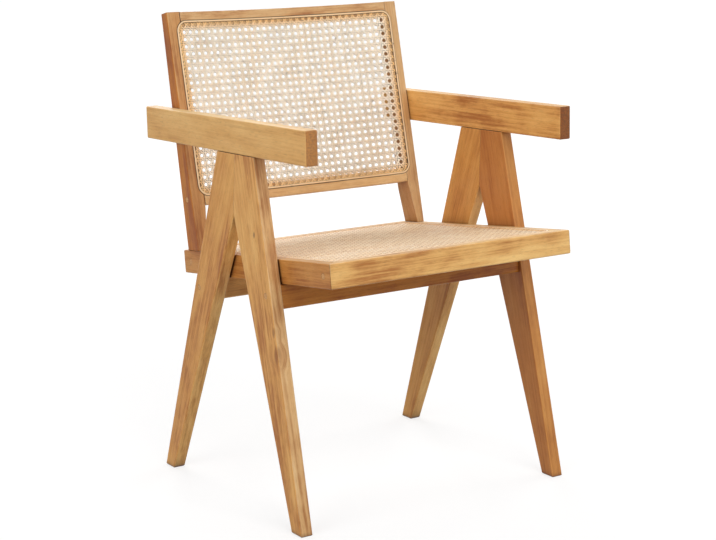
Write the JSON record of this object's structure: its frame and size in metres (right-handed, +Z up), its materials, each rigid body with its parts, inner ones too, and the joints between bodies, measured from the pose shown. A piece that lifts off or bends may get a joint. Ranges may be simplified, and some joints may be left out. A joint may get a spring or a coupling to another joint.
{
  "type": "cane dining armchair",
  "caption": "Wooden dining armchair with woven cane seat and leaning cane back, flat tilted arms and splayed inverted-V leg frames joined by cross rails under the seat.",
  "frame": {"origin": "on the floor, at the bottom centre of the chair's box", "axes": "+Z up, the sitter faces -Y, +X is the sitter's left"},
  "size_m": [0.5392, 0.5523, 0.7995],
  "materials": {
    "teak": "satin oiled teak with lighter worn edges",
    "cane": "natural woven cane",
    "spline": "natural split rattan",
    "plug_wood": "matt end grain",
    "screw_steel": "zinc-plated"
  },
  "bodies": {
    "root": {"arm_left": "teak", "arm_left_plug": "plug_wood", "arm_left_screw": "screw_steel", "arm_right": "teak", "arm_right_plug": "plug_wood", "arm_right_screw": "screw_steel", "back_bottom_rail": "teak", "back_cane": "cane", "back_spline": "spline", "back_stile_left": "teak", "back_stile_right": "teak", "back_top_rail": "teak", "bottom_rail_left_plug": "plug_wood", "bottom_rail_left_screw": "screw_steel", "bottom_rail_right_plug": "plug_wood", "bottom_rail_right_screw": "screw_steel", "front_cross_rail": "teak", "front_leg_left": "teak", "front_leg_right": "teak", "front_rail_left_plug": "plug_wood", "front_rail_left_screw": "screw_steel", "front_rail_right_plug": "plug_wood", "front_rail_right_screw": "screw_steel", "leg_dowel_lower_left": "plug_wood", "leg_dowel_lower_right": "plug_wood", "leg_dowel_upper_left": "plug_wood", "leg_dowel_upper_right": "plug_wood", "rear_cross_rail": "teak", "rear_leg_left": "teak", "rear_leg_right": "teak", "rear_rail_left_plug": "plug_wood", "rear_rail_left_screw": "screw_steel", "rear_rail_right_plug": "plug_wood", "rear_rail_right_screw": "screw_steel", "seat_cane": "cane", "seat_fixing_front_left_screw": "screw_steel", "seat_fixing_front_right_screw": "screw_steel", "seat_fixing_rear_left_screw": "screw_steel", "seat_fixing_rear_right_screw": "screw_steel", "seat_front_left_plug": "plug_wood", "seat_front_left_screw": "screw_steel", "seat_front_rail": "teak", "seat_front_right_plug": "plug_wood", "seat_front_right_screw": "screw_steel", "seat_rear_left_plug": "plug_wood", "seat_rear_left_screw": "screw_steel", "seat_rear_rail": "teak", "seat_rear_right_plug": "plug_wood", "seat_rear_right_screw": "screw_steel", "seat_side_rail_left": "teak", "seat_side_rail_right": "teak", "seat_spline": "spline", "stile_foot_left_screw": "screw_steel", "stile_foot_right_screw": "screw_steel", "top_rail_dowel_left": "plug_wood", "top_rail_dowel_right": "plug_wood"}
  },
  "joints": []
}
